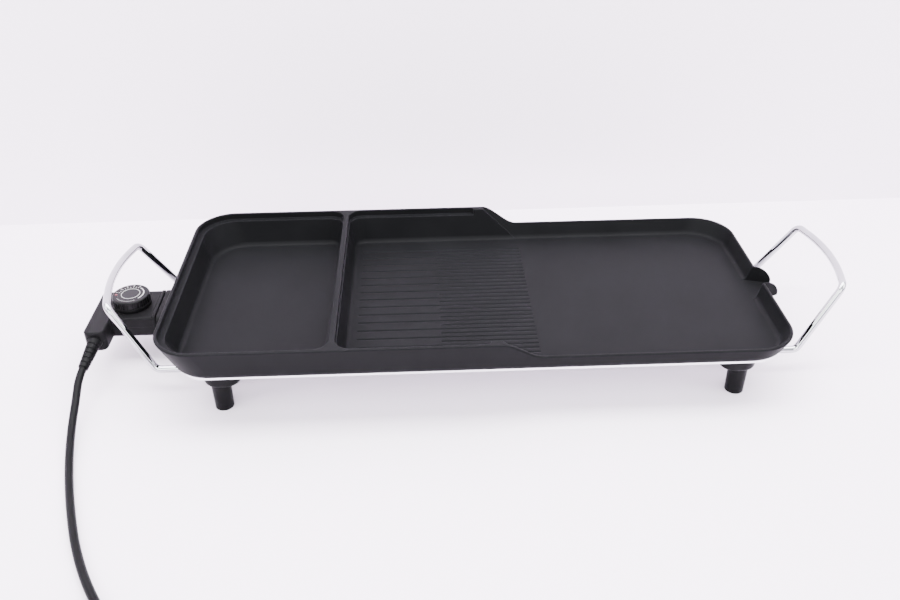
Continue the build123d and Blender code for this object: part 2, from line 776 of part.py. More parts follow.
with BuildPart() as controller_cover:
    with BuildSketch(Plane.XY.offset(housing_split_z)):
        housing_outline(0)
    extrude(amount=housing_high_z - housing_split_z)
    fillet(controller_cover.faces().sort_by(Axis.Z)[-1].edges(), housing_edge)
    with BuildSketch(Plane.XY.offset(housing_split_z)):
        housing_outline(housing_wall)
    extrude(amount=housing_high_z - housing_split_z - housing_wall, mode=Mode.SUBTRACT)
    with BuildSketch(Plane.XY.offset(housing_split_z)):
        with Locations(*post_places):
            Circle(screw_post / 2)
    extrude(amount=housing_high_z - housing_split_z - housing_wall)
    with BuildSketch(Plane.XY.offset(housing_split_z)):
        with Locations(*post_places):
            Circle(screw_shank / 2 + fit)
    extrude(amount=screw_bite + fit, mode=Mode.SUBTRACT)
    with BuildSketch(Plane.XY.offset(housing_split_z)):
        with Locations((knob_x, 0)):
            Circle(spindle_diameter / 2 + fit)
    extrude(amount=housing_high_z - housing_split_z, mode=Mode.SUBTRACT)
    with BuildSketch(Plane.XZ.offset(-arm_end_y)):
        with Locations((arm_x, relief_z)):
            Circle(relief_collar / 2 + fit)
    extrude(amount=-housing_wall, mode=Mode.SUBTRACT)
    with BuildSketch(Plane.YZ.offset(body_front_x)):
        with Locations((0, element_z)):
            Circle(probe_diameter / 2 + fit)
    extrude(amount=-housing_wall, mode=Mode.SUBTRACT)

screw_seat_z = housing_low_z + screw_counterbore_depth
with BuildPart() as housing_screws:
    with BuildSketch(Plane.XY.offset(screw_seat_z)):
        with Locations(*post_places):
            Circle(screw_head / 2)
    extrude(amount=-screw_head_height)
    with BuildSketch(Plane.XY.offset(screw_seat_z)):
        with Locations(*post_places):
            Circle(screw_shank / 2)
    extrude(amount=housing_split_z - screw_seat_z + screw_bite)

# Socket block, contact sleeves and front flange of the controller
block_width = shroud_cavity_width - 2 * block_gap
block_height = cavity_high_z - cavity_low_z - 2 * block_gap
with BuildPart() as socket_block:
    with BuildSketch(Plane.YZ.offset(body_front_x)):
        with Locations((0, cavity_mid_z)):
            RectangleRounded(block_width, block_height, shroud_wall)
        with Locations((half_spacing, element_z), (-half_spacing, element_z)):
            Circle(pin_diameter / 2 + 2 * fit + sleeve_wall + fit, mode=Mode.SUBTRACT)
        with Locations((0, element_z)):
            Circle(probe_diameter / 2 + fit, mode=Mode.SUBTRACT)
    extrude(amount=block_front_x - body_front_x)

with BuildPart() as contact_sleeves:
    with BuildSketch(Plane.YZ.offset(body_front_x)):
        with Locations((half_spacing, element_z), (-half_spacing, element_z)):
            Circle(pin_diameter / 2 + 2 * fit + sleeve_wall)
            Circle(pin_diameter / 2 + 2 * fit, mode=Mode.SUBTRACT)
    extrude(amount=sleeve_length)

with BuildPart() as controller_flange:
    with BuildSketch(Plane.YZ.offset(body_front_x)):
        with Locations((0, (flange_low_z + flange_high_z) / 2)):
            RectangleRounded(flange_width, flange_high_z - flange_low_z, flange_corner)
        with Locations((0, cavity_mid_z)):
            RectangleRounded(block_width + 2 * fit, block_height + 2 * fit, shroud_wall, mode=Mode.SUBTRACT)
    extrude(amount=flange_thickness)

# Thermostat: frame, spring contacts and the probe it reads
frame_low_z = housing_low_z + housing_wall
frame_front_x = body_front_x - housing_wall - screw_post + fit
with BuildPart() as thermostat_frame:
    with BuildSketch(Plane.XY.offset(frame_low_z)):
        with Locations((frame_front_x - frame_length / 2, 0)):
            Rectangle(frame_length, frame_width)
    extrude(amount=frame_height)
    with BuildSketch(Plane.XY.offset(frame_low_z)):
        with Locations((frame_front_x - frame_post / 2, 0)):
            Rectangle(frame_post, frame_width / 2)
    extrude(amount=element_z + probe_diameter - frame_low_z)

leaf_z = frame_low_z + frame_height
leaf_x = frame_front_x - frame_post - free_gap - leaf_length / 2
with BuildPart() as contact_springs:
    with BuildSketch(Plane.XY.offset(leaf_z)):
        with Locations((leaf_x, leaf_y), (leaf_x, -leaf_y)):
            Rectangle(leaf_length, leaf_width)
    extrude(amount=leaf_thickness)
    contact_x = leaf_x - leaf_length / 2 + contact_diameter
    with BuildSketch(Plane.XY.offset(leaf_z + leaf_thickness)):
        with Locations((contact_x, leaf_y), (contact_x, -leaf_y)):
            Circle(contact_diameter / 2)
    extrude(amount=leaf_thickness)

with BuildPart() as temperature_probe:
    with BuildSketch(Plane.YZ.offset(frame_front_x)):
        with Locations((0, element_z)):
            Circle(probe_diameter / 2)
    extrude(amount=probe_tip_x - frame_front_x)
    fillet(temperature_probe.edges().sort_by(Axis.X)[-1:], probe_diameter / 4)

# Knob, its dial cap and its spindle
knob_low_z = housing_high_z + free_gap
knob_top_z = knob_low_z + knob_height
spindle_high_z = knob_top_z - spindle_top_gap
with BuildPart() as control_knob:
    with BuildSketch(Plane.XY.offset(knob_low_z)):
        with Locations((knob_x, 0)):
            Circle(knob_diameter / 2)
    extrude(amount=knob_height)
    fillet(control_knob.faces().sort_by(Axis.Z)[-1].edges(), knob_round)
    with BuildSketch(Plane.XY.offset(knob_low_z + knob_groove_z)):
        with Locations((knob_x, 0)):
            Circle(knob_diameter / 2)
            Circle(knob_diameter / 2 - knob_groove_depth, mode=Mode.SUBTRACT)
    extrude(amount=knob_groove_height, mode=Mode.SUBTRACT)
    with BuildSketch(Plane.XY.offset(knob_low_z + knob_groove_z)):
        with Locations((knob_x, 0)):
            with PolarLocations(knob_diameter / 2 + knob_flute_radius - knob_flute_depth, knob_flutes):
                Circle(knob_flute_radius)
    extrude(amount=knob_height - knob_groove_z - knob_round, mode=Mode.SUBTRACT)
    with BuildSketch(Plane.XY.offset(knob_top_z)):
        with Locations((knob_x, 0)):
            Circle(knob_cap_diameter / 2 + fit)
    extrude(amount=-knob_cap_thickness, mode=Mode.SUBTRACT)
    with BuildSketch(Plane.XY.offset(knob_low_z)):
        with Locations((knob_x, 0)):
            Circle(spindle_diameter / 2 + fit)
    extrude(amount=spindle_high_z - knob_low_z, mode=Mode.SUBTRACT)

with BuildPart() as knob_cap:
    with BuildSketch(Plane.XY.offset(knob_top_z)):
        with Locations((knob_x, 0)):
            Circle(knob_cap_diameter / 2)
    extrude(amount=-knob_cap_thickness)

with BuildPart() as knob_spindle:
    with BuildSketch(Plane.XY.offset(spindle_low_z)):
        with Locations((knob_x, 0)):
            Circle(spindle_diameter / 2)
    extrude(amount=spindle_high_z - spindle_low_z)

# Strain relief: a collar in the arm's end wall and a ribbed taper that leans with the cord
relief_root_point = Vector(arm_x, arm_end_y - relief_collar_out, relief_z)
relief_heading = Vector(*relief_drop).normalized()
relief_plane = Plane(origin=relief_root_point - relief_heading * relief_collar_out, z_dir=relief_heading)
relief_step = relief_length / relief_ribs
with BuildPart() as strain_relief:
    with BuildSketch(Plane.XZ.offset(-arm_end_y - housing_wall)):
        with Locations((arm_x, relief_z)):
            Circle(relief_collar / 2)
    extrude(amount=housing_wall + relief_collar_out)
    with BuildSketch(relief_plane):
        Circle(relief_root / 2)
    with BuildSketch(relief_plane.offset(relief_length)):
        Circle(relief_tip / 2)
    loft()
    for rib in range(1, relief_ribs):
        rib_radius = (relief_root + (relief_tip - relief_root) * rib / relief_ribs) / 2
        with BuildSketch(relief_plane.offset(rib * relief_step)):
            Circle(rib_radius + relief_rib_depth)
            Circle(rib_radius - relief_rib_depth, mode=Mode.SUBTRACT)
        extrude(amount=relief_step / 3, mode=Mode.SUBTRACT)

# Power cord from the strain relief down to the table and along it to the coil
cord_exit = relief_plane.origin + relief_heading * relief_length
cord_route = [cord_exit, cord_exit + relief_heading * cord_first_run]
cord_route += [Vector(arm_x + x, arm_end_y + y, z) for x, y, z in cord_points]


def route_radii(points):
    """The largest arc each corner of a route has room for."""
    radii = []
    for before, corner, after in zip(points, points[1:], points[2:]):
        turn = (corner - before).get_angle(after - corner)
        run = min((corner - before).length, (after - corner).length)
        radii.append(bend_share * run / tan(radians(turn / 2)))
    return radii


cord_radii = route_radii(cord_route)
with BuildPart() as power_cord:
    with BuildLine() as cord_line:
        FilletPolyline(*cord_route, radius=cord_radii)
    with BuildSketch(Plane(origin=cord_route[0], z_dir=relief_heading)):
        Circle(cord_diameter / 2)
    sweep()
cord_length = cord_line.wire().length
print("cord radii", [round(r) for r in cord_radii])
print("cord length", round(cord_length, 1), "exit", cord_exit)
print("cord volume over section times length", power_cord.part.volume / (pi * cord_diameter**2 / 4 * cord_length))

# Coil: two layers of half turns that spiral in, climb and spiral out again
coil_entry = cord_route[-1]
last_run = cord_route[-1] - cord_route[-2]
coil_along = Vector(last_run.X, last_run.Y, 0).normalized()
coil_outward = Vector(-coil_along.Y, coil_along.X, 0)
coil_begin = Vector(coil_entry.X, coil_entry.Y, coil_low_z) + coil_along * cord_diameter
coil_centre = coil_begin - coil_outward * coil_outer_radius
coil_high_z = coil_low_z + coil_pitch


def coil_point(out, along, z):
    """A point of the coil from its distances to the coil's centre."""
    spot = coil_centre + coil_outward * out + coil_along * along
    return Vector(spot.X, spot.Y, z)


with BuildPart() as cord_coil:
    with BuildLine() as coil_line:
        Line(coil_entry, coil_begin)
        out = coil_outer_radius
        radii = [coil_outer_radius - k * coil_pitch / 2 for k in range(coil_half_turns + 1)]
        turns = [(r, coil_low_z) for r in radii[:-1]] + [(radii[-1], None)]
        turns += [(r, coil_high_z) for r in reversed(radii[1:-1])]
        for index, (radius, z) in enumerate(turns):
            way = 1 if index % 2 == 0 else -1
            middle = out - way * radius
            end = out - 2 * way * radius
            if z is None:
                reach = sqrt(radius**2 + (coil_pitch / 2) ** 2)
                top = coil_point(middle, way * reach, coil_low_z + coil_pitch / 2)
                first = TangentArc(coil_point(out, 0, coil_low_z), top, tangent=coil_along * way)
                TangentArc(top, coil_point(end, 0, coil_high_z), tangent=first % 1)
            else:
                ThreePointArc(coil_point(out, 0, z), coil_point(middle, way * radius, z), coil_point(end, 0, z))
            out = end
        Line(coil_point(out, 0, coil_high_z), coil_point(out, coil_tail, coil_high_z))
    with BuildSketch(Plane(origin=coil_entry, z_dir=coil_along)):
        Circle(cord_diameter / 2)
    sweep()
coil_length = coil_line.wire().length
coil_samples = 600
coil_wire = coil_line.wire()
coil_spots = [coil_wire.position_at(n / coil_samples) for n in range(coil_samples + 1)]
apart = int(2 * cord_diameter / (coil_length / coil_samples)) + 1
coil_gap = min(
    (a - b).length for n, a in enumerate(coil_spots) for b in coil_spots[n + apart:]
) - cord_diameter
print("coil length", round(coil_length, 1), "least gap", round(coil_gap, 2))
print("coil volume over section times length", cord_coil.part.volume / (pi * cord_diameter**2 / 4 * coil_length))

# Tie round the turns on the side where the coil doesn't climb
tie_bend = radii[-2] - sqrt(radii[-2] ** 2 - ((tie_width + coil_pitch) / 2) ** 2)
tie_inner = radii[-2] - tie_bend - cord_diameter / 2 - tie_gap
tie_outer = radii[1] + cord_diameter / 2 + tie_gap
tie_low_z = coil_low_z - cord_diameter / 2 - tie_gap
tie_high_z = coil_high_z + cord_diameter / 2 + tie_gap
tie_plane = Plane(
    origin=coil_point(0, 0, 0) - coil_outward * tie_width / 2, x_dir=-coil_along, z_dir=coil_outward
)
with BuildPart() as coil_tie:
    with BuildSketch(tie_plane):
        with Locations(((tie_inner + tie_outer) / 2, (tie_low_z + tie_high_z) / 2)):
            RectangleRounded(
                tie_outer - tie_inner + 2 * tie_thickness, tie_high_z - tie_low_z + 2 * tie_thickness,
                cord_diameter / 2,
            )
            RectangleRounded(
                tie_outer - tie_inner, tie_high_z - tie_low_z, cord_diameter / 2 - tie_thickness, mode=Mode.SUBTRACT
            )
    extrude(amount=tie_width)

# Plug: moulded body with a tapered neck, lying on the table beside the coil
plug_foot = coil_point(out, coil_tail, coil_high_z)
plug_plane = Plane(origin=plug_foot, x_dir=-coil_outward, z_dir=coil_along)
plug_height = 2 * (coil_high_z - plug_clear_z)
with BuildPart() as plug_body:
    with BuildSketch(plug_plane):
        Circle(plug_neck_root / 2)
    with BuildSketch(plug_plane.offset(plug_neck_length)):
        Circle(plug_neck_diameter / 2)
    loft()
    with BuildSketch(plug_plane.offset(plug_neck_length)):
        RectangleRounded(plug_width, plug_height, plug_corner)
    extrude(amount=plug_length)
    fillet(plug_body.faces().sort_by(Axis(plug_foot, coil_along))[-1].edges(), plug_corner / 3)

with BuildPart() as plug_pins:
    with BuildSketch(plug_plane.offset(plug_neck_length + plug_length)):
        with GridLocations(plug_pin_spacing, 1, 2, 1):
            Circle(plug_pin_diameter / 2)
    extrude(amount=plug_pin_length)

pieces = {
    "grill_pan": grill_pan.part,
    "reflector_tray": reflector_tray.part,
    "leg_front_left": leg_front_left,
    "leg_front_right": leg_front_right,
    "leg_rear_left": leg_rear_left,
    "leg_rear_right": leg_rear_right,
    "leg_screws": leg_screws.part,
    "heating_element": heating_element.part,
    "element_clips": element_clips.part,
    "terminal_pins": terminal_pins.part,
    "probe_guide": probe_guide.part,
    "inlet_shroud": inlet_shroud.part,
    "shroud_screws": shroud_screws.part,
    "handle_left": handle_left,
    "handle_right": handle_right,
    "handle_clamps": handle_clamps.part,
    "handle_screws": handle_screws.part,
    "handle_nuts": handle_nuts.part,
    "controller_base": controller_base.part,
    "controller_cover": controller_cover.part,
    "housing_screws": housing_screws.part,
    "socket_block": socket_block.part,
    "contact_sleeves": contact_sleeves.part,
    "controller_flange": controller_flange.part,
    "thermostat_frame": thermostat_frame.part,
    "contact_springs": contact_springs.part,
    "temperature_probe": temperature_probe.part,
    "control_knob": control_knob.part,
    "knob_cap": knob_cap.part,
    "knob_spindle": knob_spindle.part,
    "strain_relief": strain_relief.part,
    "power_cord": power_cord.part,
    "cord_coil": cord_coil.part,
    "coil_tie": coil_tie.part,
    "plug_body": plug_body.part,
    "plug_pins": plug_pins.part,
}
for name, piece in pieces.items():
    piece.label = name
    export_step(piece, f"parts/{name}.step")
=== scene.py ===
"""Looks for an electric grill with a divided pan, rod handles and a plug-in controller."""
import json
from math import cos, pi, radians, sin

import bpy
from mathutils import Euler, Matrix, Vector


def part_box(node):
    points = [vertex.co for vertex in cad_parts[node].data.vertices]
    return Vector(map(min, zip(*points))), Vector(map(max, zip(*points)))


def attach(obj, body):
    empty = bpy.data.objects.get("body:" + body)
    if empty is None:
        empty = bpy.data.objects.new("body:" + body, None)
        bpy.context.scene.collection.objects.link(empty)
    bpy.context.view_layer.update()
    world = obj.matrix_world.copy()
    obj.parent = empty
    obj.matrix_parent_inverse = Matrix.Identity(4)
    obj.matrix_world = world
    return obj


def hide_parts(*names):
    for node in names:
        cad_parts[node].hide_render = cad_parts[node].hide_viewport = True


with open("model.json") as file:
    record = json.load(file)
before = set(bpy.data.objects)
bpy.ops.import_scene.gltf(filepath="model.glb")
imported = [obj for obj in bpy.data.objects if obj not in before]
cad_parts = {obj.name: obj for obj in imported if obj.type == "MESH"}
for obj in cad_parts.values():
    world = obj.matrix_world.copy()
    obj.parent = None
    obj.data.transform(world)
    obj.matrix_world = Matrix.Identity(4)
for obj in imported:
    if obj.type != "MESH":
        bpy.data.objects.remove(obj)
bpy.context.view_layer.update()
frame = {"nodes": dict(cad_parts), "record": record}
nodes = frame["nodes"]

MM = 0.001

# Camera, in metres and degrees, at the photograph's viewing angle
camera_place = (-0.0510, -0.7524, 0.5340)
camera_turn = (56.98, 0.51, -2.31)
camera_lens = 36.0
camera_sensor = 36.0

# Cord, in millimetres: the route repeats the part's own points
cord_diameter = 7.2
relief_heading = Vector((-5.0, -28.0, -10.0)).normalized()
cord_exit = Vector((-367.48, -76.07, 31.04))
cord_first_run = 12.0
coil_low_z = 4.9
coil_pitch = 7.7
coil_outer_radius = 50.0
coil_half_turns = 4
coil_tail = 32.0
points_per_half_turn = 12
cord_route = [
    cord_exit,
    cord_exit + relief_heading * cord_first_run,
    Vector((-367.1, -107.0, 19.8)),
    Vector((-365.4, -130.0, 11.6)),
    Vector((-361.0, -155.0, 6.4)),
    Vector((-354.5, -180.5, 4.0)),
    Vector((-346.0, -207.0, 3.8)),
    Vector((-335.5, -236.0, 3.8)),
    Vector((-322.5, -268.0, 3.8)),
    Vector((-306.5, -299.0, 4.2)),
    Vector((-287.5, -328.0, coil_low_z)),
    Vector((-265.5, -355.0, coil_low_z)),
]

# Cord mesh: steps between control points, and the roundness of its section
cord_steps = 8
cord_roundness = 5

# Dial print on the knob, in metres and degrees
print_lift = 0.00006
arc_points = 64
full_turn = 360.0
ring_radius = 0.0088
ring_width = 0.0005
sweep_radius = 0.0125
sweep_width = 0.0009
sweep_start = -42.0
sweep_angle = 95.0
hold_radius = 0.0138
hold_width = 0.0005
hold_start = 215.0
hold_angle = 85.0
tick_radius = 0.0118
tick_start = 64.0
tick_angle = 104.0
tick_count = 9
tick_length = 0.0013
tick_width = 0.00045
number_radius = 0.0143
number_size = 0.0034
number_count = 5
off_dot_radius = 0.0136
off_dot_angle = 186.0
off_dot_size = 0.0012

# Studio, in metres
floor_reach = 3.0
wall_height = 1.6
wall_left = (-0.58, 0.272)
wall_right = (0.58, 0.282)
surround_low = (0.20, 0.20, 0.23)
surround_high = (0.95, 0.95, 1.0)
surround_rise = (0.25, 0.55)
surround_strength = 2.2
card_low = (0.965, 0.880, 0.985)
card_high = (0.975, 0.890, 0.995)
card_roughness = 0.7
card_level = 0.2

# Soft boxes: place, target and size in metres, power in watts
soft_boxes = {
    "top_box": ((0.0, -0.02, 1.3), (0.0, 0.0, 0.0), (1.8, 0.5), 62.0),
    "front_box": ((-0.1, -1.5, 0.75), (0.0, 0.1, 0.05), (1.8, 0.8), 42.0),
    "left_box": ((-1.3, -0.6, 0.9), (0.0, 0.0, 0.05), (0.9, 0.9), 20.0),
    "right_box": ((1.3, -0.5, 0.9), (0.0, 0.0, 0.05), (0.9, 0.9), 20.0),
}

# Finishes: the range of noise that is used, the strength of each bump, and the dial ink
noise_low = 0.3
noise_high = 0.7
coating_bump = 0.35
metal_bump = 0.2
ink_bump = 0.2
ink_grain_scale = 2500.0
ink_patch_scale = 400.0
ink_roughness = (0.55, 0.4)
ink_depth = 0.00001


# Small helpers for node trees
def add_node(tree, kind, **settings):
    """A node with its properties set."""
    made = tree.nodes.new(kind)
    for name, value in settings.items():
        setattr(made, name, value)
    return made


def new_group(name, inputs, outputs):
    """A shader group with named float sockets and its two end nodes."""
    tree = bpy.data.node_groups.new(name, "ShaderNodeTree")
    for label, value in inputs.items():
        socket = tree.interface.new_socket(label, in_out="INPUT", socket_type="NodeSocketFloat")
        socket.default_value = value
    for label, kind in outputs.items():
        tree.interface.new_socket(label, in_out="OUTPUT", socket_type=kind)
    return tree, add_node(tree, "NodeGroupInput"), add_node(tree, "NodeGroupOutput")


def place_group(tree, group, **values):
    """A group placed in a material with its own values."""
    made = add_node(tree, "ShaderNodeGroup", node_tree=group)
    for label, value in values.items():
        made.inputs[label.replace("_", " ")].default_value = value
    return made


# Shared surface effects
def make_grain_group():
    """Fine moulded or cast grain: a height for the bump and a slower tone."""
    tree, start, end = new_group(
        "surface_grain",
        {"Scale": 900.0, "Patch Scale": 18.0},
        {"Height": "NodeSocketFloat", "Tone": "NodeSocketFloat"},
    )
    place = add_node(tree, "ShaderNodeTexCoord")
    fine = add_node(tree, "ShaderNodeTexNoise")
    fine.inputs["Detail"].default_value = 3.0
    fine.inputs["Roughness"].default_value = 0.6
    broad = add_node(tree, "ShaderNodeTexNoise")
    broad.inputs["Detail"].default_value = 4.0
    for noise, label in ((fine, "Scale"), (broad, "Patch Scale")):
        tree.links.new(place.outputs["Object"], noise.inputs["Vector"])
        tree.links.new(start.outputs[label], noise.inputs["Scale"])
    tree.links.new(fine.outputs["Fac"], end.inputs["Height"])
    tree.links.new(broad.outputs["Fac"], end.inputs["Tone"])
    return tree


def make_edge_group():
    """Rounded edges: the eased normal, and a mask of where edges are near, which the coated
    finishes use for a painted highlight.
    """
    tree, start, end = new_group(
        "eased_edge",
        {"Radius": 0.001, "Gain": 3.0},
        {"Normal": "NodeSocketVector", "Mask": "NodeSocketFloat"},
    )
    eased = add_node(tree, "ShaderNodeBevel", samples=6)
    tree.links.new(start.outputs["Radius"], eased.inputs["Radius"])
    face = add_node(tree, "ShaderNodeNewGeometry")
    meet = add_node(tree, "ShaderNodeVectorMath", operation="DOT_PRODUCT")
    tree.links.new(eased.outputs["Normal"], meet.inputs[0])
    tree.links.new(face.outputs["Normal"], meet.inputs[1])
    away = add_node(tree, "ShaderNodeMath", operation="SUBTRACT")
    away.inputs[0].default_value = 1.0
    tree.links.new(meet.outputs["Value"], away.inputs[1])
    gain = add_node(tree, "ShaderNodeMath", operation="MULTIPLY", use_clamp=True)
    tree.links.new(away.outputs[0], gain.inputs[0])
    tree.links.new(start.outputs["Gain"], gain.inputs[1])
    tree.links.new(eased.outputs["Normal"], end.inputs["Normal"])
    tree.links.new(gain.outputs[0], end.inputs["Mask"])
    return tree


def make_streak_group():
    """Rolled or drawn metal: long fine streaks along X, and soft patches."""
    tree, start, end = new_group(
        "metal_streaks",
        {"Across": 2200.0, "Along": 12.0},
        {"Streak": "NodeSocketFloat", "Patch": "NodeSocketFloat"},
    )
    place = add_node(tree, "ShaderNodeTexCoord")
    stretch = add_node(tree, "ShaderNodeCombineXYZ")
    tree.links.new(start.outputs["Along"], stretch.inputs["X"])
    tree.links.new(start.outputs["Across"], stretch.inputs["Y"])
    tree.links.new(start.outputs["Across"], stretch.inputs["Z"])
    scaled = add_node(tree, "ShaderNodeVectorMath", operation="MULTIPLY")
    tree.links.new(place.outputs["Object"], scaled.inputs[0])
    tree.links.new(stretch.outputs["Vector"], scaled.inputs[1])
    streak = add_node(tree, "ShaderNodeTexNoise")
    streak.inputs["Scale"].default_value = 1.0
    streak.inputs["Detail"].default_value = 2.0
    tree.links.new(scaled.outputs["Vector"], streak.inputs["Vector"])
    patch = add_node(tree, "ShaderNodeTexNoise")
    patch.inputs["Scale"].default_value = 26.0
    patch.inputs["Detail"].default_value = 3.0
    tree.links.new(place.outputs["Object"], patch.inputs["Vector"])
    tree.links.new(streak.outputs["Fac"], end.inputs["Streak"])
    tree.links.new(patch.outputs["Fac"], end.inputs["Patch"])
    return tree


grain_group = make_grain_group()
edge_group = make_edge_group()
streak_group = make_streak_group()


# Materials
def new_material(name):
    """An empty material with its shader."""
    material = bpy.data.materials.new(name)
    material.use_nodes = True
    return material, material.node_tree, material.node_tree.nodes["Principled BSDF"]


def ramp_between(tree, source, low, high, low_at=noise_low, high_at=noise_high):
    """A colour ramp from one colour to another."""
    ramp = add_node(tree, "ShaderNodeValToRGB")
    ramp.color_ramp.elements[0].position = low_at
    ramp.color_ramp.elements[0].color = (*low, 1.0)
    ramp.color_ramp.elements[1].position = high_at
    ramp.color_ramp.elements[1].color = (*high, 1.0)
    tree.links.new(source, ramp.inputs["Fac"])
    return ramp.outputs["Color"]


def span(tree, source, low, high):
    """A value spread between two limits."""
    spread = add_node(tree, "ShaderNodeMapRange")
    spread.inputs["From Min"].default_value = noise_low
    spread.inputs["From Max"].default_value = noise_high
    spread.inputs["To Min"].default_value = low
    spread.inputs["To Max"].default_value = high
    tree.links.new(source, spread.inputs["Value"])
    return spread.outputs["Result"]


def lighten(tree, base, mask, colour):
    """The base colour with another laid over it by a mask."""
    blend = add_node(tree, "ShaderNodeMix", data_type="RGBA")
    colour_in = [s for s in blend.inputs if s.type == "RGBA"]
    colour_in[1].default_value = (*colour, 1.0)
    tree.links.new(mask, blend.inputs["Factor"])
    tree.links.new(base, colour_in[0])
    return [s for s in blend.outputs if s.type == "RGBA"][0]


def bumped(tree, height, normal, distance, strength):
    """A bump on top of an eased normal."""
    bump = add_node(tree, "ShaderNodeBump")
    bump.inputs["Distance"].default_value = distance
    bump.inputs["Strength"].default_value = strength
    tree.links.new(height, bump.inputs["Height"])
    if normal is not None:
        tree.links.new(normal, bump.inputs["Normal"])
    return bump.outputs["Normal"]


def make_coated(name, dark, light, edge_highlight, rough, scale, depth, edge_radius, level):
    """A dark coating or moulding: grain, slow patches, and a painted highlight that lightens the
    colour where edges are near.
    """
    material, tree, shader = new_material(name)
    grain = place_group(tree, grain_group, Scale=scale)
    edges = place_group(tree, edge_group, Radius=edge_radius)
    body = ramp_between(tree, grain.outputs["Tone"], dark, light)
    # Painted highlight: a lighter colour is laid over the base colour where edges are near.
    tree.links.new(lighten(tree, body, edges.outputs["Mask"], edge_highlight), shader.inputs["Base Color"])
    tree.links.new(span(tree, grain.outputs["Tone"], *rough), shader.inputs["Roughness"])
    normal = bumped(tree, grain.outputs["Height"], edges.outputs["Normal"], depth, coating_bump)
    tree.links.new(normal, shader.inputs["Normal"])
    shader.inputs["Specular IOR Level"].default_value = level
    return material


def make_metal(name, dark, light, rough, across, along, depth):
    """A bare metal with streaks in its bump and patches in its polish."""
    material, tree, shader = new_material(name)
    streaks = place_group(tree, streak_group, Across=across, Along=along)
    body = ramp_between(tree, streaks.outputs["Patch"], dark, light)
    tree.links.new(body, shader.inputs["Base Color"])
    tree.links.new(span(tree, streaks.outputs["Patch"], *rough), shader.inputs["Roughness"])
    normal = bumped(tree, streaks.outputs["Streak"], None, depth, metal_bump)
    tree.links.new(normal, shader.inputs["Normal"])
    shader.inputs["Metallic"].default_value = 1.0
    return material


def make_print(name, colour, worn):
    """Dial ink with thin worn patches."""
    material, tree, shader = new_material(name)
    grain = place_group(tree, grain_group, Scale=ink_grain_scale, Patch_Scale=ink_patch_scale)
    body = ramp_between(tree, grain.outputs["Tone"], worn, colour)
    tree.links.new(body, shader.inputs["Base Color"])
    tree.links.new(span(tree, grain.outputs["Tone"], *ink_roughness), shader.inputs["Roughness"])
    normal = bumped(tree, grain.outputs["Height"], None, ink_depth, ink_bump)
    tree.links.new(normal, shader.inputs["Normal"])
    return material


# In each coated finish, the lighter colour given for edges is a painted highlight.
finishes = {
    "nonstick": make_coated(
        "nonstick_coating",
        dark=(0.0043, 0.0044, 0.0049), light=(0.0058, 0.0059, 0.0066), edge_highlight=(0.010, 0.010, 0.012),
        rough=(0.44, 0.52), scale=1400.0, depth=0.00006, edge_radius=0.0012, level=0.03,
    ),
    "bright_sheet": make_metal(
        "rolled_bright_sheet",
        dark=(0.72, 0.72, 0.74), light=(0.82, 0.82, 0.84), rough=(0.16, 0.26),
        across=1800.0, along=10.0, depth=0.00002,
    ),
    "chrome": make_metal(
        "chromed_rod",
        dark=(0.42, 0.425, 0.445), light=(0.52, 0.525, 0.545), rough=(0.04, 0.08),
        across=900.0, along=60.0, depth=0.00001,
    ),
    "leg_plastic": make_coated(
        "leg_moulding",
        dark=(0.0030, 0.0030, 0.0034), light=(0.0042, 0.0042, 0.0047), edge_highlight=(0.010, 0.010, 0.011),
        rough=(0.32, 0.42), scale=2200.0, depth=0.00003, edge_radius=0.0006, level=0.06,
    ),
    "housing_plastic": make_coated(
        "housing_moulding",
        dark=(0.0042, 0.0041, 0.0046), light=(0.0056, 0.0055, 0.0061), edge_highlight=(0.014, 0.014, 0.015),
        rough=(0.40, 0.50), scale=2600.0, depth=0.00004, edge_radius=0.0006, level=0.05,
    ),
    "knob_plastic": make_coated(
        "knob_moulding",
        dark=(0.0024, 0.0024, 0.0027), light=(0.0034, 0.0034, 0.0038), edge_highlight=(0.012, 0.012, 0.013),
        rough=(0.26, 0.34), scale=2600.0, depth=0.00002, edge_radius=0.0005, level=0.10,
    ),
    "cap_print": make_coated(
        "dial_face",
        dark=(0.0045, 0.0045, 0.0049), light=(0.0060, 0.0060, 0.0065), edge_highlight=(0.014, 0.014, 0.015),
        rough=(0.34, 0.42), scale=3000.0, depth=0.00001, edge_radius=0.0003, level=0.12,
    ),
    "steel": make_metal(
        "plated_steel",
        dark=(0.50, 0.50, 0.51), light=(0.62, 0.62, 0.63), rough=(0.22, 0.34),
        across=1500.0, along=300.0, depth=0.00002,
    ),
    "sheath": make_metal(
        "heater_sheath",
        dark=(0.13, 0.11, 0.10), light=(0.22, 0.20, 0.19), rough=(0.42, 0.58),
        across=1100.0, along=90.0, depth=0.00004,
    ),
    "brass": make_metal(
        "contact_brass",
        dark=(0.62, 0.43, 0.17), light=(0.74, 0.54, 0.24), rough=(0.22, 0.36),
        across=1400.0, along=200.0, depth=0.00002,
    ),
    "cord_sheath": make_coated(
        "cord_sheath_vinyl",
        dark=(0.0034, 0.0034, 0.0038), light=(0.0048, 0.0048, 0.0053), edge_highlight=(0.010, 0.010, 0.011),
        rough=(0.36, 0.46), scale=1600.0, depth=0.00004, edge_radius=0.0004, level=0.05,
    ),
}
white_ink = make_print("white_dial_ink", (0.55, 0.55, 0.55), (0.40, 0.40, 0.40))
grey_ink = make_print("grey_dial_ink", (0.22, 0.22, 0.22), (0.15, 0.15, 0.15))
red_ink = make_print("red_dial_ink", (0.22, 0.012, 0.03), (0.16, 0.01, 0.02))

for subpart in frame["record"]["subparts"]:
    piece = nodes[subpart["node"]]
    piece.data.materials.clear()
    piece.data.materials.append(finishes[subpart["material_slot"]])


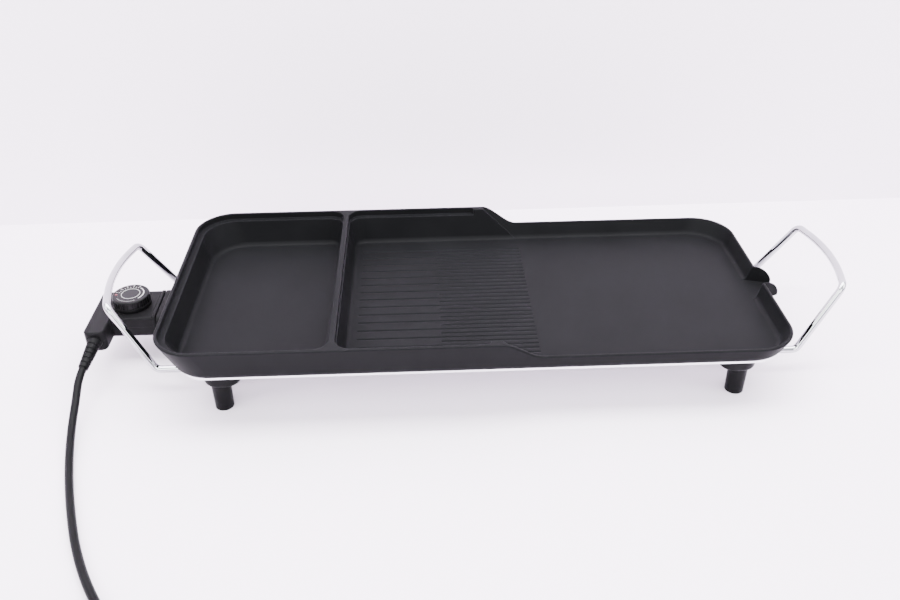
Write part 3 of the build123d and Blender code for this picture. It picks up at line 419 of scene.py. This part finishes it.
# Cord: one smooth spline through the route and the coil's turns
def coil_points():
    """Control points of the coil's half turns, laid out as the part's own coil."""
    last_run = cord_route[-1] - cord_route[-2]
    along = Vector((last_run.x, last_run.y, 0.0)).normalized()
    outward = Vector((-along.y, along.x, 0.0))
    centre = cord_route[-1] + along * cord_diameter - outward * coil_outer_radius
    centre.z = 0.0
    step = pi / points_per_half_turn
    swell = 1.0 / cos(step / 2)
    radii = [coil_outer_radius - k * coil_pitch / 2 for k in range(coil_half_turns + 1)]
    turns = [(r, 0.0, 0.0) for r in radii[:-1]] + [(radii[-1], 0.0, 1.0)]
    turns += [(r, 1.0, 1.0) for r in reversed(radii[1:-1])]
    points = []
    out = coil_outer_radius
    for index, (radius, low, high) in enumerate(turns):
        way = 1 if index % 2 == 0 else -1
        middle = out - way * radius
        for k in range(points_per_half_turn):
            part = (k + 0.5) / points_per_half_turn
            reach = radius * swell * way
            sideways = outward * (middle + reach * cos(part * pi))
            spot = centre + sideways + along * (reach * sin(part * pi))
            spot.z = coil_low_z + coil_pitch * (low + (high - low) * part)
            points.append(spot)
        out = middle - way * radius
    tail = centre + outward * out + along * coil_tail
    tail.z = coil_low_z + coil_pitch
    points.append(tail)
    return points


def make_cord():
    """The mains lead as a round curve of one open spline."""
    curve = bpy.data.curves.new("mains_lead", "CURVE")
    curve.dimensions = "3D"
    spline = curve.splines.new("NURBS")
    route = cord_route + coil_points()
    spline.points.add(len(route) - 1)
    for point, place in zip(spline.points, route):
        point.co = (*(place * MM), 1.0)
    spline.order_u = 3
    spline.use_endpoint_u = True
    spline.resolution_u = cord_steps
    curve.bevel_depth = cord_diameter / 2 * MM
    curve.bevel_resolution = cord_roundness
    curve.use_fill_caps = True
    curve.materials.append(finishes["cord_sheath"])
    lead = bpy.data.objects.new("mains_lead", curve)
    bpy.context.scene.collection.objects.link(lead)
    return lead


# Dial print: arcs and ticks from node trees, numbers from type
def new_tree(name, sizes):
    """A geometry tree with named float inputs, a material input and its end nodes."""
    tree = bpy.data.node_groups.new(name, "GeometryNodeTree")
    identifiers = {}
    for label in sizes:
        socket = tree.interface.new_socket(label, in_out="INPUT", socket_type="NodeSocketFloat")
        identifiers[label] = socket.identifier
    ink = tree.interface.new_socket("Ink", in_out="INPUT", socket_type="NodeSocketMaterial")
    identifiers["Ink"] = ink.identifier
    tree.interface.new_socket("Geometry", in_out="OUTPUT", socket_type="NodeSocketGeometry")
    return tree, identifiers, add_node(tree, "NodeGroupInput"), add_node(tree, "NodeGroupOutput")


def close_tree(tree, start, end, shape):
    """Realize, colour and hand out the shape."""
    real = add_node(tree, "GeometryNodeRealizeInstances")
    tree.links.new(shape, real.inputs["Geometry"])
    ink = add_node(tree, "GeometryNodeSetMaterial")
    tree.links.new(real.outputs["Geometry"], ink.inputs["Geometry"])
    tree.links.new(start.outputs["Ink"], ink.inputs["Material"])
    tree.links.new(ink.outputs["Geometry"], end.inputs["Geometry"])


def make_arc_tree():
    """A flat printed arc: a thin ribbon along part of a circle."""
    sizes = ["Radius", "Start", "Sweep", "Width", "Depth"]
    tree, identifiers, start, end = new_tree("printed_arc", sizes)
    line = add_node(tree, "GeometryNodeCurveArc", mode="RADIUS")
    line.inputs["Resolution"].default_value = arc_points
    for label, socket in (("Radius", "Radius"), ("Start", "Start Angle"), ("Sweep", "Sweep Angle")):
        tree.links.new(start.outputs[label], line.inputs[socket])
    ribbon = add_node(tree, "GeometryNodeCurvePrimitiveQuadrilateral", mode="RECTANGLE")
    tree.links.new(start.outputs["Width"], ribbon.inputs["Width"])
    tree.links.new(start.outputs["Depth"], ribbon.inputs["Height"])
    sweep = add_node(tree, "GeometryNodeCurveToMesh")
    sweep.inputs["Fill Caps"].default_value = True
    tree.links.new(line.outputs["Curve"], sweep.inputs["Curve"])
    tree.links.new(ribbon.outputs["Curve"], sweep.inputs["Profile Curve"])
    close_tree(tree, start, end, sweep.outputs["Mesh"])
    return tree, identifiers


def make_tick_tree():
    """Printed ticks, each pointing at the dial's centre."""
    sizes = ["Radius", "Start", "Sweep", "Length", "Width", "Depth"]
    tree, identifiers, start, end = new_tree("printed_ticks", sizes)
    line = add_node(tree, "GeometryNodeCurveArc", mode="RADIUS")
    line.inputs["Resolution"].default_value = tick_count
    for label, socket in (("Radius", "Radius"), ("Start", "Start Angle"), ("Sweep", "Sweep Angle")):
        tree.links.new(start.outputs[label], line.inputs[socket])
    spots = add_node(tree, "GeometryNodeCurveToPoints", mode="EVALUATED")
    tree.links.new(line.outputs["Curve"], spots.inputs["Curve"])
    place = add_node(tree, "GeometryNodeInputPosition")
    aim = add_node(tree, "FunctionNodeAlignRotationToVector", axis="X")
    tree.links.new(place.outputs["Position"], aim.inputs["Vector"])
    size = add_node(tree, "ShaderNodeCombineXYZ")
    for label, axis in (("Length", "X"), ("Width", "Y"), ("Depth", "Z")):
        tree.links.new(start.outputs[label], size.inputs[axis])
    tick = add_node(tree, "GeometryNodeMeshCube")
    tree.links.new(size.outputs["Vector"], tick.inputs["Size"])
    repeat = add_node(tree, "GeometryNodeInstanceOnPoints")
    tree.links.new(spots.outputs["Points"], repeat.inputs["Points"])
    tree.links.new(tick.outputs["Mesh"], repeat.inputs["Instance"])
    tree.links.new(aim.outputs["Rotation"], repeat.inputs["Rotation"])
    close_tree(tree, start, end, repeat.outputs["Instances"])
    return tree, identifiers


def settle_mesh(holder, place):
    """A plain mesh from an evaluated object, moved to its place."""
    seen = holder.evaluated_get(bpy.context.evaluated_depsgraph_get())
    mesh = bpy.data.meshes.new_from_object(seen)
    mesh.transform(place)
    return mesh


def dial_place():
    """The middle of the knob's top, where the print lies."""
    low, high = (Vector(corner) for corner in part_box("knob_cap"))
    return Vector(((low.x + high.x) / 2, (low.y + high.y) / 2, high.z + print_lift / 2))


def shift_to(place, turn=0.0):
    """A move to a place, after a turn about Z."""
    made = Euler((0.0, 0.0, turn)).to_matrix().to_4x4()
    made.translation = place
    return made


def make_printed(name, tree, identifiers, ink, **sizes):
    """A printed mark made by a tree and kept as a plain mesh on the knob."""
    holder = bpy.data.objects.new(name, bpy.data.meshes.new(name))
    bpy.context.scene.collection.objects.link(holder)
    modifier = holder.modifiers.new("print", "NODES")
    modifier.node_group = tree
    modifier[identifiers["Ink"]] = ink
    for label, value in sizes.items():
        modifier[identifiers[label]] = value
    holder.update_tag()
    mesh = settle_mesh(holder, shift_to(dial_place()))
    holder.modifiers.clear()
    holder.data = mesh
    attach(holder, "knob")
    return holder


def make_number(digit, angle):
    """A printed number that stands upright on its radius."""
    type_curve = bpy.data.curves.new(f"dial_number_{digit}", "FONT")
    type_curve.body = str(digit)
    type_curve.size = number_size
    type_curve.align_x = "CENTER"
    type_curve.align_y = "CENTER"
    type_curve.extrude = print_lift / 2
    holder = bpy.data.objects.new(f"dial_number_{digit}", type_curve)
    bpy.context.scene.collection.objects.link(holder)
    spot = dial_place() + Vector((cos(angle), sin(angle), 0.0)) * number_radius
    mesh = settle_mesh(holder, shift_to(spot, angle - pi / 2))
    bpy.data.objects.remove(holder)
    mesh.materials.clear()
    mesh.materials.append(white_ink)
    piece = bpy.data.objects.new(f"dial_number_{digit}", mesh)
    bpy.context.scene.collection.objects.link(piece)
    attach(piece, "knob")


def make_dial():
    """Rings, sweep, ticks, numbers and the off dot."""
    arc_tree, arc_sockets = make_arc_tree()
    tick_tree, tick_sockets = make_tick_tree()
    arcs = {
        "dial_ring": (white_ink, ring_radius, 0.0, full_turn, ring_width),
        "dial_sweep": (white_ink, sweep_radius, sweep_start, sweep_angle, sweep_width),
        "dial_hold_arc": (grey_ink, hold_radius, hold_start, hold_angle, hold_width),
    }
    for name, (ink, radius, begin, angle, width) in arcs.items():
        make_printed(
            name, arc_tree, arc_sockets, ink,
            Radius=radius, Start=radians(begin), Sweep=radians(angle),
            Width=width, Depth=print_lift,
        )
    make_printed(
        "dial_ticks", tick_tree, tick_sockets, white_ink,
        Radius=tick_radius, Start=radians(tick_start), Sweep=radians(tick_angle),
        Length=tick_length, Width=tick_width, Depth=print_lift,
    )
    for n in range(number_count):
        angle = radians(tick_start + tick_angle * (1 - n / (number_count - 1)))
        make_number(n + 1, angle)
    off_angle = radians(off_dot_angle)
    off_spot = Vector((cos(off_angle), sin(off_angle), 0.0)) * off_dot_radius
    dot = make_printed(
        "dial_off_dot", arc_tree, arc_sockets, red_ink,
        Radius=off_dot_size / 2, Start=0.0, Sweep=radians(full_turn),
        Width=off_dot_size, Depth=print_lift,
    )
    dot.data.transform(shift_to(off_spot))


# Studio
def make_stage():
    """A pale floor and a pale wall behind it, both clear when seen from their backs."""
    material, tree, shader = new_material("studio_card")
    grain = place_group(tree, grain_group, Scale=300.0, Patch_Scale=2.0)
    card = ramp_between(tree, grain.outputs["Tone"], card_low, card_high)
    tree.links.new(card, shader.inputs["Base Color"])
    shader.inputs["Roughness"].default_value = card_roughness
    shader.inputs["Specular IOR Level"].default_value = card_level
    face = add_node(tree, "ShaderNodeNewGeometry")
    clear = add_node(tree, "ShaderNodeBsdfTransparent")
    sided = add_node(tree, "ShaderNodeMixShader")
    tree.links.new(face.outputs["Backfacing"], sided.inputs["Fac"])
    tree.links.new(shader.outputs["BSDF"], sided.inputs[1])
    tree.links.new(clear.outputs["BSDF"], sided.inputs[2])
    tree.links.new(sided.outputs["Shader"], tree.nodes["Material Output"].inputs["Surface"])
    left, right = Vector(wall_left), Vector(wall_right)
    reach = (right - left).normalized() * floor_reach
    left, right = left - reach, right + reach
    corners = {
        "studio_floor": [
            (-floor_reach, -floor_reach, 0.0), (floor_reach, -floor_reach, 0.0),
            (floor_reach, floor_reach, 0.0), (-floor_reach, floor_reach, 0.0),
        ],
        "studio_wall": [(*left, 0.0), (*right, 0.0), (*right, wall_height), (*left, wall_height)],
    }
    for name, points in corners.items():
        mesh = bpy.data.meshes.new(name)
        mesh.from_pydata(points, [], [(0, 1, 2, 3)])
        mesh.materials.append(material)
        card_piece = bpy.data.objects.new(name, mesh)
        bpy.context.scene.collection.objects.link(card_piece)


def add_area(name, place, target, size, power):
    """A soft box aimed at a point."""
    light = bpy.data.lights.new(name, "AREA")
    light.shape = "RECTANGLE"
    light.size, light.size_y = size
    light.energy = power
    box = bpy.data.objects.new(name, light)
    box.location = place
    box.rotation_euler = (Vector(target) - Vector(place)).to_track_quat("-Z", "Y").to_euler()
    bpy.context.scene.collection.objects.link(box)


def make_studio():
    """Camera, soft boxes and a pale surround."""
    camera = bpy.data.cameras.new("view")
    camera.lens = camera_lens
    camera.sensor_width = camera_sensor
    view = bpy.data.objects.new("view", camera)
    view.location = camera_place
    view.rotation_euler = [radians(angle) for angle in camera_turn]
    bpy.context.scene.collection.objects.link(view)
    bpy.context.scene.camera = view
    world = bpy.data.worlds.new("pale_surround")
    world.use_nodes = True
    surround = world.node_tree
    backdrop = surround.nodes["Background"]
    look = add_node(surround, "ShaderNodeTexCoord")
    parts = add_node(surround, "ShaderNodeSeparateXYZ")
    surround.links.new(look.outputs["Generated"], parts.inputs["Vector"])
    sky = ramp_between(surround, parts.outputs["Z"], surround_low, surround_high, *surround_rise)
    surround.links.new(sky, backdrop.inputs["Color"])
    backdrop.inputs["Strength"].default_value = surround_strength
    bpy.context.scene.world = world
    for name, (place, target, size, power) in soft_boxes.items():
        add_area(name, place, target, size, power)


make_studio()
make_stage()
lead = make_cord()
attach(lead, "controller")
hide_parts("power_cord", "cord_coil")
make_dial()
